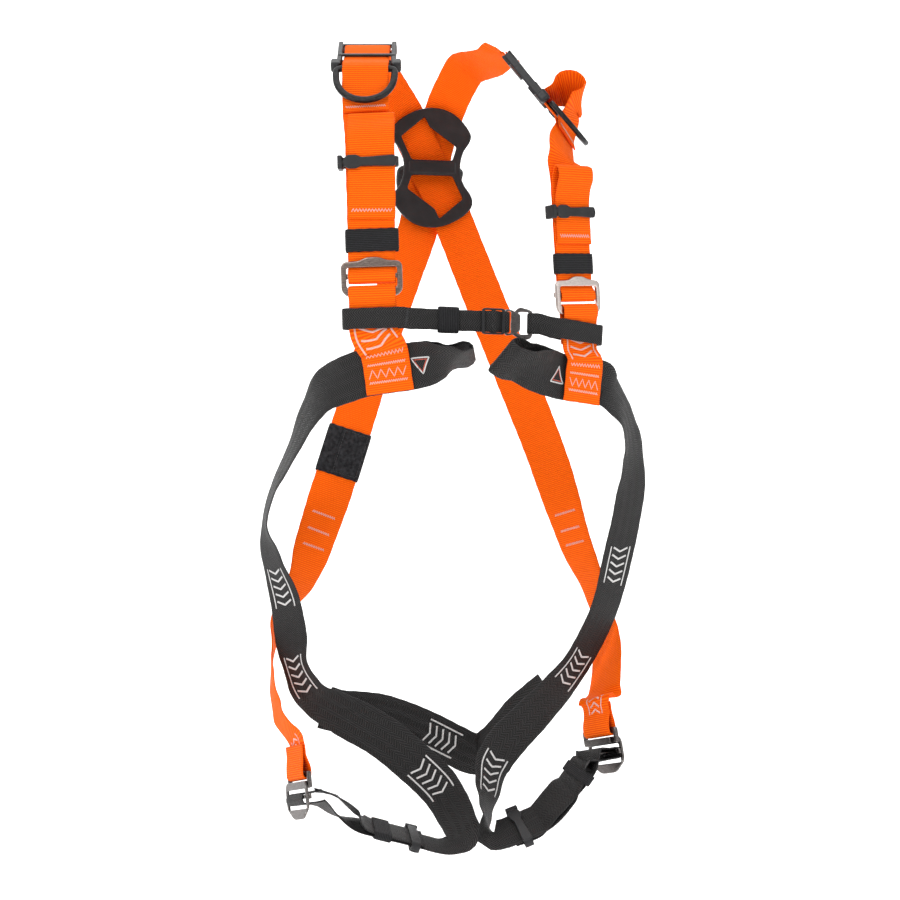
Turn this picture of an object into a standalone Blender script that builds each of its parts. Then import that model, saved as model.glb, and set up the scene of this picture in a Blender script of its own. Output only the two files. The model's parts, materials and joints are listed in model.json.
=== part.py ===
# Full-body fall-arrest harness held in its worn shape: orange 45 mm shoulder webbing crossing at a
# dorsal plate, black 45 mm chest, hip and leg webbing, forged D-rings, steel adjusters and buckles.
# Origin: centre of the dorsal plate's crossbar rib, on its flat front face. +Z up, the wearer faces -Y,
# the wearer's right side is -X. Lengths below are millimetres; objects are made in metres. The working
# frames are measured from the crossbar's rear face, RIB_DEPTH behind the origin.
import math

import bmesh
import bpy
from mathutils import Matrix, Vector

MM = 0.001

# Webbing
WEB_W = 45.0
WEB_T = 2.0
CHEST_W = 20.0
CHEST_T = 1.6
CHEST_SPLIT = -99.5
TWIST_STEP = 9.0
LOOP_TIP_R = (0, 0.96, -0.28)
LOOP_TIP_L = (0, 0.83, -0.56)

# Dorsal plate and ring
PLATE_T = 4.5
BAR_T = 6.0
BAR_H = 14.0
RIB_DEPTH = BAR_T + 0.6
DORSAL_BAR_R = 4.2
DORSAL_HALF = 34.0
DORSAL_TALL = 56.0

# Shoulder ring
RING_HALF = 28.6
RING_TALL = 44.0
RING_R = 3.5
RING_BAR_Y = -5.0

# Shoulder adjuster
ADJ_HALF_W = 29.0
ADJ_FOOT = 17.5
ADJ_T = 3.5
ADJ_OPEN = 24.0
ADJ_Y = -5.5
SLIDE_R = 2.0
SLIDE_Y = -3.4
SLIDE_UP = 2.0
SLIDE_TRAVEL = 3.0

# Leg buckle
BUCKLE_HALF = 28.5


def place(x, y, z, turn, lean=0.0, pitch=0.0):
    """Local frame: X across, Y towards the body, Z up; turn about Z, lean sideways, pitch backwards."""
    spin = Matrix.Rotation(math.radians(turn), 4, "Z")
    spin = spin @ Matrix.Rotation(math.radians(lean), 4, "Y")
    spin = spin @ Matrix.Rotation(math.radians(-pitch), 4, "X")
    return Matrix.Translation((x, y, z)) @ spin


def axes(x, y, z, side, along):
    """Frame with Z along the webbing and X across it; Y follows."""
    up = Vector(along).normalized()
    right = Vector(side)
    right = (right - up * right.dot(up)).normalized()
    back = up.cross(right)
    turned = Matrix((right, back, up)).transposed().to_4x4()
    return Matrix.Translation((x, y, z)) @ turned


# Working frames of the harness
FRONT_R = place(-98.5, -240, -60, -12, -1.6)
FRONT_L = place(98, -228, -60, 28, -4.5)
ADJ_Z_R = -93.7
ADJ_Z_L = -106.0
SHOULDER_R = place(-97, -196, 52, -10, 0, 46)
SHOULDER_L = axes(93.7, -187.2, 22.6, (0.41, 0.91, 0), (-0.556, 0.296, 0.775))
CREST_R = SHOULDER_R @ Matrix.Translation((0, 0, 50)) @ Matrix.Rotation(math.radians(-40), 4, "X")
BEND_R = SHOULDER_R @ Matrix.Translation((0, 0, 50)) @ Matrix.Rotation(math.radians(-20), 4, "X")
CREST_L = SHOULDER_L @ Matrix.Translation((0, 0, 46))
LOW_R = axes(-99, -214, 15, (0.98, -0.19, 0), (0.03, 0.5, 0.866))
LOW_L = axes(102, -195, 2, (0.5, 0.866, 0), (-0.05, 0.45, 0.89))
SEAM_R = place(-82, -244, -240, -12, -8)
SEAM_L = place(112, -226, -247, 24, 6)
CHEST_R = FRONT_R @ Matrix.Translation((0, -4.7, -132))
CHEST_L = FRONT_L @ Matrix.Translation((0, -4.7, -141)) @ Matrix.Rotation(math.radians(9), 4, "Y")
CHEST_MID = place(43, -247, -194, 4, 1)
LEG_R = place(-158, -140, -644, -72, -15)
LEG_L = place(157, -135, -612, 112, 15)
KEEP_R = axes(-50, -153, -708, (0.2, -0.97, -0.15), (-0.96, 0.02, 0.28))
KEEP_L = axes(68, -151, -703, (0.1, -0.92, -0.38), (0.93, 0, 0.33))
LEG_BAND_L = axes(129, -149, -650, (0.12, -0.92, -0.22), (0.62, 0.05, 0.78))
LABEL = axes(-103, -40, -319, (0.93, -0.05, -0.34), (0.31, 0.17, 0.93))


# ---------------------------------------------------------------- scene and materials
def clear_scene():
    for obj in list(bpy.data.objects):
        bpy.data.objects.remove(obj, do_unlink=True)


def collection(name, hidden=False):
    made = bpy.data.collections.new(name)
    made.hide_render = hidden
    bpy.context.scene.collection.children.link(made)
    return made


def material(name, colour, roughness, metallic=0.0):
    made = bpy.data.materials.new(name)
    made.use_nodes = True
    shader = made.node_tree.nodes["Principled BSDF"]
    shader.inputs["Base Color"].default_value = (*colour, 1.0)
    shader.inputs["Roughness"].default_value = roughness
    shader.inputs["Metallic"].default_value = metallic
    return made


def seated(frame):
    """A working frame in millimetres as an object's matrix in metres, measured from the origin."""
    spot = frame.translation + Vector((0, RIB_DEPTH, 0))
    return Matrix.Translation(spot * MM) @ frame.to_3x3().to_4x4()


def finish(name, data, frame, mat):
    obj = bpy.data.objects.new(name, data)
    obj.matrix_world = seated(frame)
    data.materials.append(mat)
    HARNESS.objects.link(obj)
    return obj


def cutter(name, data, frame):
    obj = bpy.data.objects.new(name, data)
    obj.matrix_world = seated(frame)
    obj.hide_render = True
    obj.display_type = "WIRE"
    CUTTERS.objects.link(obj)
    return obj


def combine(obj, other, operation):
    step = obj.modifiers.new(operation.lower(), "BOOLEAN")
    step.operation = operation
    step.solver = "EXACT"
    step.object = other


# ---------------------------------------------------------------- webbing
def across(turn, tilt):
    a, b = math.radians(turn), math.radians(tilt)
    return Vector((math.cos(b) * math.cos(a), math.cos(b) * math.sin(a), math.sin(b)))


def world(*stations):
    """Stations as (x, y, z, turn, tilt): centre of the webbing and direction across it."""
    return [(Vector(s[:3]), across(s[3], s[4])) for s in stations]


def local(frame, stations, side=(1, 0, 0)):
    """Stations given in a working frame; side is the direction across the webbing there."""
    spin = frame.to_3x3()
    return [(frame @ Vector(s), spin @ Vector(side)) for s in stations]


def blend_points(p, q, r, s, t):
    """Catmull-Rom curve between q and r."""
    return 0.5 * (2 * q + (r - p) * t + (2 * p - 5 * q + 4 * r - s) * t * t
                  + (3 * q - p - 3 * r + s) * t ** 3)


def drawn_in(point, knot, span):
    """A neighbour brought no farther than the span from its knot, so that the curve has no overshoot."""
    away = point - knot
    return knot + away * min(1, span / max(away.length, 1e-6))


def sampled(stations, step):
    """Smooth run of stations through the given ones, at most step apart."""
    run = []
    last = len(stations) - 1
    for i in range(last):
        ends = [stations[max(i - 1, 0)], stations[i], stations[i + 1], stations[min(i + 2, last)]]
        span = (ends[2][0] - ends[1][0]).length
        near = drawn_in(ends[0][0], ends[1][0], span)
        far = drawn_in(ends[3][0], ends[2][0], span)
        twist = math.degrees(stations[i][1].angle(stations[i + 1][1]))
        parts = max(1, math.ceil(span / step), math.ceil(twist / TWIST_STEP))
        for k in range(parts):
            t = k / parts
            here = blend_points(near, ends[1][0], ends[2][0], far, t)
            side = ends[1][1].lerp(ends[2][1], t * t * (3 - 2 * t))
            run.append((here, side))
    run.append(stations[last])
    return run


def strap(name, stations, mat, width=WEB_W, thick=WEB_T, step=14.0):
    """Flat webbing lofted along its stations, four corners to a section, with matching diagonals."""
    run = sampled(stations, step)
    mesh = bmesh.new()
    rings = []
    for i, (here, side) in enumerate(run):
        along = (run[min(i + 1, len(run) - 1)][0] - run[max(i - 1, 0)][0]).normalized()
        side = (side - along * side.dot(along)).normalized() * width / 2
        face = along.cross(side).normalized() * thick / 2
        corners = (here - side - face, here + side - face, here + side + face, here - side + face)
        rings.append([mesh.verts.new(c * MM) for c in corners])
    for a, b in zip(rings, rings[1:]):
        for corners in ((a[0], a[1], b[1]), (a[0], b[1], b[0]), (a[2], a[3], b[2]), (a[3], b[3], b[2])):
            mesh.faces.new(corners)
        mesh.faces.new((a[1], a[2], b[2], b[1]))
        mesh.faces.new((a[3], a[0], b[0], b[3]))
    mesh.faces.new(rings[0][::-1])
    mesh.faces.new(rings[-1])
    bmesh.ops.recalc_face_normals(mesh, faces=mesh.faces)
    data = bpy.data.meshes.new(name)
    mesh.to_mesh(data)
    mesh.free()
    return finish(name, data, Matrix.Identity(4), mat)


def bend(y, z, radius, start, end, count):
    """Points (0, y, z) on an arc in the YZ plane; angles from +Y towards +Z."""
    turns = [math.radians(start + (end - start) * k / count) for k in range(count + 1)]
    return [(0, y + radius * math.cos(a), z + radius * math.sin(a)) for a in turns]


# ---------------------------------------------------------------- hardware shapes
def rounded(points, radius, steps=3):
    """Closed outline with its corners rounded."""
    out = []
    count = len(points)
    for i, corner in enumerate(points):
        here = Vector(corner)
        before = Vector(points[i - 1]) - here
        after = Vector(points[(i + 1) % count]) - here
        cut = min(radius, before.length * 0.45, after.length * 0.45)
        start, stop = here + before.normalized() * cut, here + after.normalized() * cut
        for k in range(steps + 1):
            t = k / steps
            out.append(tuple((1 - t) ** 2 * start + 2 * t * (1 - t) * here + t * t * stop))
    return out


def box_outline(left, right, low, high):
    return [(left, low), (right, low), (right, high), (left, high)]


def smooth_outline(points, parts=3):
    """Closed smooth outline through the points."""
    out = []
    count = len(points)
    for i in range(count):
        quad = [Vector(points[(i + k - 1) % count]) for k in range(4)]
        out += [tuple(blend_points(*quad, k / parts)) for k in range(parts)]
    return out


def flat_mesh(outlines, depth, edge):
    """Filled outlines in X and Z, given a thickness along Y and rounded edges."""
    data = bpy.data.curves.new("outline", "CURVE")
    data.dimensions = "2D"
    data.fill_mode = "BOTH"
    data.extrude = (depth / 2 - edge) * MM
    data.bevel_depth = edge * MM
    data.bevel_resolution = 1
    data.offset = -edge * MM
    for outline in outlines:
        line = data.splines.new("POLY")
        line.points.add(len(outline) - 1)
        for point, (x, z) in zip(line.points, outline):
            point.co = (x * MM, z * MM, 0, 1)
        line.use_cyclic_u = True
    shape = bpy.data.objects.new("outline", data)
    CUTTERS.objects.link(shape)
    mesh = bmesh.new()
    filled = bpy.data.meshes.new_from_object(shape.evaluated_get(bpy.context.evaluated_depsgraph_get()))
    mesh.from_mesh(filled)
    bpy.data.objects.remove(shape, do_unlink=True)
    bmesh.ops.remove_doubles(mesh, verts=mesh.verts, dist=1e-6)
    bmesh.ops.rotate(mesh, verts=mesh.verts, matrix=Matrix.Rotation(math.radians(90), 3, "X"))
    bmesh.ops.recalc_face_normals(mesh, faces=mesh.faces)
    mesh.to_mesh(filled)
    mesh.free()
    return filled


def flat_part(name, outlines, depth, centre_y, frame, mat, edge=0.6):
    """Sheet or forged part, filled between its outlines."""
    return finish(name, flat_mesh(outlines, depth, edge), frame @ Matrix.Translation((0, centre_y, 0)), mat)


def hoop(path, section):
    """Mesh swept round a path in the XY plane; section points are (outwards, up)."""
    mesh = bmesh.new()
    rings = []
    count = len(path)
    for i, point in enumerate(path):
        here = Vector((*point, 0))
        along = (Vector((*path[(i + 1) % count], 0)) - Vector((*path[i - 1], 0))).normalized()
        out = along.cross(Vector((0, 0, 1)))
        rings.append([mesh.verts.new((here + out * r + Vector((0, 0, h))) * MM) for r, h in section])
    sides = len(section)
    for i in range(count):
        a, b = rings[i], rings[(i + 1) % count]
        for k in range(sides):
            mesh.faces.new((a[k], a[(k + 1) % sides], b[(k + 1) % sides], b[k]))
    bmesh.ops.recalc_face_normals(mesh, faces=mesh.faces)
    data = bpy.data.meshes.new("hoop")
    mesh.to_mesh(data)
    mesh.free()
    return data


def rod_section(radius, flat=0.72, sides=12):
    """Round bar section with two flats, which lie on the ring's faces."""
    out = []
    for k in range(sides):
        a = 2 * math.pi * (k + 0.5) / sides
        up = radius * math.sin(a)
        out.append((radius * math.cos(a), max(-radius * flat, min(radius * flat, up))))
    return out


def band_section(thick, height):
    out, up = thick / 2, height / 2
    return [(-out, -up), (out, -up), (out, up), (-out, up)]


def dee(half, tall, corner=7.0, steps=9):
    """Centre line of a D: straight bar along X at zero, bow hanging to -tall."""
    bow = []
    for k in range(2 * steps + 1):
        a = math.pi * k / (2 * steps)
        bow.append((half * math.cos(a), -corner - (tall - corner) * math.sin(a) ** 0.85))
    bar = [(-half, -corner * 0.45), (-half + corner * 0.3, -corner * 0.1), (-half + corner, 0),
           (-half * 0.35, 0), (half * 0.35, 0), (half - corner, 0), (half - corner * 0.3, -corner * 0.1),
           (half, -corner * 0.45)]
    return bow + bar


def ring(name, half, tall, radius, frame, mat):
    """Forged D-ring, made in its own plane: bar along X, bow towards -Z."""
    upright = frame @ Matrix.Rotation(math.radians(90), 4, "X")
    return finish(name, hoop(dee(half, tall), rod_section(radius)), upright, mat)


def block(left, right, front, back, low, high, edge=0.0):
    mesh = bmesh.new()
    bmesh.ops.create_cube(mesh, size=1)
    size = Vector((right - left, back - front, high - low)) * MM
    middle = Vector((left + right, front + back, low + high)) * MM / 2
    bmesh.ops.scale(mesh, verts=mesh.verts, vec=size)
    bmesh.ops.translate(mesh, verts=mesh.verts, vec=middle)
    if edge:
        bmesh.ops.bevel(mesh, geom=mesh.edges, offset=edge * MM, segments=2, profile=0.5, affect="EDGES")
    data = bpy.data.meshes.new("block")
    mesh.to_mesh(data)
    mesh.free()
    return data


def bar_mesh(half, radius, sides=14):
    """Round bar along X with closed ends."""
    mesh = bmesh.new()
    turned = Matrix.Rotation(math.radians(90), 4, "Y")
    bmesh.ops.create_cone(mesh, cap_ends=True, segments=sides, radius1=radius * MM, radius2=radius * MM,
                          depth=2 * half * MM, matrix=turned)
    data = bpy.data.meshes.new("bar")
    mesh.to_mesh(data)
    mesh.free()
    return data


def sleeve(name, half_w, front, back, height, thick, frame, mat, centre_x=0.0):
    """Flat closed band around webbing layers; front and back are its inner faces."""
    left, right = centre_x - half_w - thick / 2, centre_x + half_w + thick / 2
    middle_line = box_outline(left, right, front - thick / 2, back + thick / 2)
    path = rounded(middle_line, (back - front) / 2 + thick * 0.4)
    return finish(name, hoop(path, band_section(thick, height)), frame, mat)


# ---------------------------------------------------------------- webbing runs
def adjuster_wrap(z):
    """Webbing round the sliding bar of a shoulder adjuster centred at z, up to the start of its tail."""
    bar = z + SLIDE_UP
    turn = bend(SLIDE_Y, bar - SLIDE_TRAVEL, 3.5, 0, -180, 8)
    tail = [(0, SLIDE_Y - 3.5, bar + 1), (0, -2.45, bar + 8.3), (0, -2.4, bar + 17)]
    return [(0, 0, bar + 16), (0, 0.1, bar + 3)] + turn + tail


def buckle_eye():
    """End of a main strap sewn round the upper bar of a leg buckle, from its tail to the strap."""
    eye = bend(0, 0.3, 4.6, 190, 350, 8)
    return [(0, -2.5, 30), (0, -2.5, 20), (0, -4.0, 8)] + eye + [(0, 4.0, 8), (0, 0.4, 20), (0, 0.3, 34)]


def leg_wrap():
    """Leg webbing round the sliding bar of a leg buckle, entering below and leaving above the bar."""
    low = bend(-3.85, -24.8, 3.5, 270, 180, 4)
    high = bend(-3.85, -21.5, 3.5, 180, 90, 4)
    return [(0, 20, -29), (0, 6, -28.4)] + low + high + [(0, 6, -18), (0, 18, -17)]


def lower_loop(z):
    """Lower front strap round the fixed bar of an adjuster centred at z, from its inner end."""
    turn = bend(ADJ_Y, z - 11.25, 3.5, 0, 180, 6)
    front = [(0, -9.0, z - 18), (0, -7.2, z - 22), (0, -4.9, z - 33), (0, -4.6, z - 52)]
    return [(0, -2.1, z - 46), (0, -2.1, z - 30), (0, -2.1, z - 20)] + turn + front


def main_strap_right(mat):
    """Wearer's left hip buckle, up the back, through the dorsal plate, over the right shoulder."""
    run = local(LEG_L, buckle_eye(), (-1, 0, 0))
    run += world((166, -114, -578, -68, 0), (178, -88, -545, -70, 0), (184, -61, -508, -78, 0),
                 (176, -52, -474, -68, 0), (153, -52, -420, -52, 5), (124, -40, -325, -28, 12),
                 (91, -22, -232, -16, 14), (59, -9, -148, -6, 18), (29, 1, -68, 0, 24), (17, 5, -36, 0, 26),
                 (3, 11.4, -7, 0, 26), (-4, 11.4, 8, 0, 26), (-17, 5, 32, 0, 26), (-32, 0, 60, 0, 28),
                 (-50, -16, 80, 0, 26), (-68, -48, 92, -4, 12), (-79, -84, 91, -8, 2))
    run += local(CREST_R, [(0, 0, 36), (0, 0, 9)])
    run += local(BEND_R, [(0, 1.5, 0)])
    run += local(SHOULDER_R, [(0, 0, 41), (0, 0, -2)])
    run += local(LOW_R, [(0, 0, 8), (0, 0, -9)])
    run += local(FRONT_R, [(0, 0, 36), (0, 0, 0)] + adjuster_wrap(ADJ_Z_R))
    up = [(1.5, -2.4, -10), (2.5, -2.4, 34), (2.5, 0.1, 44), (2.5, 4.4, 52), (2.5, 11, 60), (2.5, 12, 64.5)]
    down = [(2.5, 9, 64.5), (2.5, 7.2, 60), (2.5, 1.2, 52), (2.5, -2.8, 44), (2.5, -5.0, 34)]
    run += local(FRONT_R, up + down + [(2.5, -5.0, 0), (1.5, -5.0, -38)])
    return strap("main_strap_right", run, mat)


def main_strap_left(mat):
    """Wearer's right hip buckle, up the back, through the dorsal plate, over the left shoulder."""
    run = local(LEG_R, buckle_eye(), (-1, 0, 0))
    run += world((-175, -118, -592, 106, 0), (-182, -96, -565, 94, 0), (-181, -72, -530, 84, 0),
                 (-172, -60, -492, 60, 0), (-150, -62, -455, 42, -3), (-135, -57, -412, 20, -12))
    run += local(LABEL, [(0, 0, -34), (0, 0, 34)])
    run += world((-60, -14, -190, -6, -16), (-34, -2, -120, -2, -16), (-14, 9, -68, 0, -14),
                 (-7, 12.4, -36, 0, -12), (-1, 15.2, -7, 0, -12), (1, 15.2, 8, 0, -12),
                 (6, 12.4, 32, 0, -16), (14, 6, 60, 0, -24), (20, -4, 78, 4, -32),
                 (26, -18, 92, 10, -36), (31, -38, 102, 18, -36), (36, -68, 99, 28, -30),
                 (40, -106, 92, 40, -20), (43, -139, 89, 54, -8))
    run += local(SHOULDER_L, [(0, 0.5, 84), (0, 0, 77), (0, 0, 45), (0, 0, -6)])
    run += local(LOW_L, [(0, 0, 9), (0, 0, -9)])
    run += local(FRONT_L, [(3, 7, 36)], (0.93, 0.36, 0))
    run += local(FRONT_L, [(0, 2, 22), (0, 0, 6), (0, 0, -20)] + adjuster_wrap(ADJ_Z_L))
    up = [(0, -2.4, -60), (0, -2.4, -8), (0, -3.2, 10), (0, -7, 20)]
    down = [(0, -12, 18), (0, -12.5, 8), (0, -8, -2), (0, -5.2, -14), (0, -5.0, -26), (0, -5.0, -55)]
    run += local(FRONT_L, up + down)
    return strap("main_strap_left", run, mat)


def front_strap_right(mat):
    run = local(FRONT_R, lower_loop(ADJ_Z_R))
    run += local(SEAM_R, [(-1, -2.6, 20), (0, -2.6, 8), (0, -2.6, -22)])
    return strap("front_strap_right", run, mat)


def front_strap_left(mat):
    run = local(FRONT_L, lower_loop(ADJ_Z_L))
    run += local(SEAM_L, [(-1, -4.6, 20), (0, -3.6, 6), (0, -3.3, -23)])
    return strap("front_strap_left", run, mat)


def hip_strap_right(mat):
    """Chest loop, hip, under the thigh, through the crotch and across to the right leg buckle."""
    down = (0, 0, -1)
    run = local(SEAM_R, [(-20, 2.5, 0), (22, 2.5, 0)], down)
    run += local(SEAM_R, [(38, 6, 2)], (0, 0.45, -0.89)) + local(SEAM_R, [(54, 6, 5)], (0, 0.78, -0.62))
    tip = [(68, 3, 7.5), (79, 1.5, 8), (83.5, 0.5, 4), (79, -0.5, 0), (68, -2.5, -0.5)]
    run += local(SEAM_R, tip, LOOP_TIP_R)
    run += local(SEAM_R, [(54, -6, -1)], (0, 0.78, -0.62))
    run += local(SEAM_R, [(38, -4.5, 0)], (0, 0.42, -0.91))
    run += local(SEAM_R, [(22, 0, 0), (-20, 0, 0)], down)
    run += world((-120, -232, -249, -20, -82), (-140, -211, -259, -65, -58), (-155, -182, -286, -80, -32),
                 (-169, -150, -322, -86, -12), (-182, -122, -353, -88, -4), (-190, -104, -389, -88, 0),
                 (-184, -98, -426, -66, 0), (-170, -98, -470, -50, 0), (-164, -102, -507, -46, 0),
                 (-160, -108, -537, -58, 6), (-146, -111, -566, -48, 28), (-123, -106, -583, -30, 46),
                 (-98, -100, -598, -15, 64), (-66, -95, -618, -10, 72), (-29, -95, -650, -10, 62),
                 (-8, -99, -671, -12, 50), (2, -110, -687, -28, 38), (8, -127, -700, -50, 20),
                 (10, -142, -711, -68, 2), (3, -150, -717, -76, -8))
    run += local(KEEP_R, [(0, 0, -38), (0, 0, 0), (0, 0, 50)])
    run += world((-120, -147, -684, -74, 0))
    run += local(LEG_R, leg_wrap())
    run += world((-122, -147, -664, -74, 0), (-103, -150, -679, -74, 0))
    run += local(KEEP_R, [(0, 5, 47), (0, 2.6, 36), (0, 2.4, 0), (0, 2.4, -16)])
    return strap("hip_strap_right", run, mat)


def hip_strap_left(mat):
    """Chest loop, hip, under the thigh, through the crotch and across to the left leg buckle."""
    down = (0, 0, -1)
    run = local(SEAM_L, [(24, 2.5, 0), (-25, 2.5, 0)], down)
    run += local(SEAM_L, [(-42, 7, 4)], (0, 0.35, -0.94)) + local(SEAM_L, [(-60, 9.5, 9)], (0, 0.6, -0.8))
    tip = [(-78, 8, 13), (-92, 4, 14), (-99, 0, 9.5), (-92, -4, 4), (-78, -8, 2)]
    run += local(SEAM_L, tip, LOOP_TIP_L)
    run += local(SEAM_L, [(-60, -9, 1)], (0, 0.55, -0.83))
    run += local(SEAM_L, [(-42, -5, 0.5)], (0, 0.25, -0.97))
    run += local(SEAM_L, [(-25, 0, 0), (28, 0, 0)], down)
    run += world((149, -207.5, -260, -98, -77), (164, -192, -273, -109, -54), (177, -172, -292, -120, -28),
                 (189, -146, -322, -132, -8), (194, -120, -368, -148, 0), (188, -102, -424, -152, 0),
                 (172, -98, -488, -146, 8), (142, -101, -543, -144, 18), (112, -105, -577, -150, 36),
                 (86, -107, -602, -158, 50), (62, -109, -625, -165, 60), (47, -112, -646, -160, 58),
                 (41, -118, -667, -145, 38), (36, -129, -688, -118, 10), (35, -140, -703, -98, -14),
                 (39, -148, -711, -88, -22))
    run += local(KEEP_L, [(0, 0, -18), (0, 0, 0), (0, 0, 16)], (1, 0, 0))
    run += world((99, -151, -688, -80, -18), (115, -150, -670, -78, -18))
    run += local(LEG_BAND_L, [(0, 0, -12), (0, 0, 13)])
    run += local(LEG_L, leg_wrap(), (-1, 0, 0))
    run += local(LEG_BAND_L, [(0, 2.4, 13), (0, 2.4, -12)])
    run += world((113, -150, -668, -78, -18), (97, -151, -684, -80, -18))
    run += local(KEEP_L, [(0, 2.4, 14), (0, 2.4, -12)])
    return strap("hip_strap_left", run, mat)


def seat_strap(mat):
    run = world((-128, -95, -584, -45, 84), (-112, -88, -590, -30, 88), (-66, -62, -600, -20, 88),
                (-19, -44, -620, -10, 86), (22, -36, -642, 0, 82), (45, -36, -652, 10, 80),
                (62, -46, -640, 25, 82), (86, -62, -606, 35, 80), (106, -74, -584, 40, 72),
                (115, -78, -575, 40, 68))
    return strap("seat_strap", run, mat)


def shoulder_loop_right(mat):
    run = local(CREST_R, [(0, -2.8, 34), (0, -2.9, 9)])
    run += local(BEND_R, [(0, -1.6, 0)])
    run += local(SHOULDER_R, [(0, -2.9, 41), (0, -2.9, 25), (0, -3.7, 19), (0, -5.2, 14)])
    run += local(SHOULDER_R, [(0, -8.0, 7), (0, -9.7, 1.8), (0, -9.3, -3.4), (0, -6.5, -8.4)])
    run += local(LOW_R, [(0, -5.0, 14), (0, -3.2, 5), (0, -2.8, -9)])
    return strap("shoulder_loop_right", run, mat)


def shoulder_loop_left(mat):
    """Layer over the shoulder ring's bar, bulging outwards as an open loop before it is sewn down."""
    run = local(SHOULDER_L, [(0, -2.7, 74), (0, -2.7, 36), (0, -2.8, 25), (0.2, -4.6, 20)])
    run += local(SHOULDER_L, [(1, -11, 14.5)], (0.97, 0.2, -0.1))
    bulge = [(3, -22, 12), (3, -31, 5), (2, -33, -4), (0, -27, -9)]
    run += local(SHOULDER_L, bulge, (0.745, 0.551, -0.343))
    run += local(SHOULDER_L, [(-2, -17, -11)], (0.94, 0.28, -0.17))
    run += local(LOW_L, [(0, -6.5, 9), (0, -3.2, 1), (0, -2.8, -9)])
    return strap("shoulder_loop_left", run, mat)


def chest_turn(sign):
    """Chest webbing round both layers of a front strap; sign is +1 where the outer edge is at +X."""
    outer = [math.radians(90 - 180 * k / 6) for k in range(7)]
    turn = [(sign * (23.5 + 5.1 * math.cos(a)), 5.1 * math.sin(a), 0) for a in outer]
    turn = [(-sign * 28, 4.4, 0), (-sign * 20, 5.1, 0)] + turn
    return turn + [(-sign * 20, -5.1, 0), (-sign * 28, -4.4, 0)]


def chest_bar_turn(x, y, radius, sign):
    angles = [math.radians(90 + 180 * k / 6) for k in range(7)]
    return [(x - sign * radius * math.cos(a), y - radius * math.sin(a), 0) for a in angles]


def chest_loop_right(mat):
    """Sewn loop of the chest strap round the right front strap, up to the place where it flexes."""
    up = (0, 0, 1)
    run = local(CHEST_MID, [(CHEST_SPLIT - 0.5, 1.0, 0), (CHEST_SPLIT - 5, 1.0, 0)], up)
    run += local(CHEST_R, chest_turn(-1), up)
    run += local(CHEST_MID, [(CHEST_SPLIT - 5, -1.0, 0), (CHEST_SPLIT - 0.5, -1.0, 0)], up)
    return strap("chest_loop_right", run, mat, CHEST_W, CHEST_T)


def chest_strap_right(mat):
    """Free half of the chest strap: over the slider, round the hook's bar and back as a tail."""
    up = (0, 0, 1)
    run = [(CHEST_SPLIT + 0.5, -1.0, 0), (-52, -1.0, 0), (-40, -2.2, 0), (-32.6, -2.4, 0), (-27.2, -6.2, 0),
           (-25, -7.2, 0), (-22.8, -6.2, 0), (-17.4, -2.4, 0), (-14.4, -2.7, 0)]
    run += chest_bar_turn(-11.25, 0, 2.8, 1)
    run += [(-14.4, 2.2, 0), (-19, 1.4, 0), (-60, 1.4, 0), (-80, 1.4, 0)]
    return strap("chest_strap_right", local(CHEST_MID, run, up), mat, CHEST_W, CHEST_T)


def chest_strap_left(mat):
    up = (0, 0, 1)
    run = local(CHEST_L, [(-40, 0.9, 0)] + chest_turn(1) + [(-40, -1.1, 0)], up)
    run += local(CHEST_MID, [(21, -0.1, 0)] + chest_bar_turn(14.6, 3.1, 3.2, -1), up)
    run += local(CHEST_MID, [(20, 5.6, 0), (26, 3.2, 0)], up)
    return strap("chest_strap_left", run, mat, CHEST_W, CHEST_T)


# ---------------------------------------------------------------- dorsal plate and rings
def dorsal_plate(mat):
    upper_side = [(0, 67), (14, 65.5), (26, 60), (36, 51), (43, 41), (44.5, 35), (42, 28), (36.5, 20),
                  (33, 10)]
    lower_side = [(32, 0), (33, -10), (37, -20), (43, -28), (46, -36), (44.5, -44), (36, -53), (25, -60),
                  (13, -65)]
    half = upper_side + lower_side
    outline = smooth_outline(half + [(-x, -z) for x, z in half], 2)
    upper = rounded([(-35, 34), (-8, 57), (-3, 46), (28, 24), (23, 8.5), (-23, 8.5)], 2.5)
    lower = [(-x, -z) for x, z in upper]
    here = Matrix.Identity(4)
    plate = flat_part("dorsal_plate", [outline, upper, lower], PLATE_T, -1.5 - PLATE_T / 2, here, mat, 1.2)
    rib = block(-26, 26, -RIB_DEPTH, 0, -BAR_H / 2 + 1, BAR_H / 2 - 1, 0.6)
    combine(plate, cutter("dorsal_plate_rib", rib, here), "UNION")
    return plate


def dorsal_ring(mat):
    """Back ring: its bar lies between the plate's crossbar and the crossing webbing."""
    seat = Matrix.Translation((0, 0.9 + DORSAL_BAR_R, 0)) @ Matrix.Rotation(math.radians(52), 4, "X")
    return ring("dorsal_ring", DORSAL_HALF, DORSAL_TALL, DORSAL_BAR_R, seat, mat)


def shoulder_ring(name, frame, tilt, mat):
    turned = frame @ Matrix.Translation((0, RING_BAR_Y, 0)) @ Matrix.Rotation(math.radians(-tilt), 4, "X")
    return ring(name, RING_HALF, RING_TALL, RING_R, turned, mat)


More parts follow.
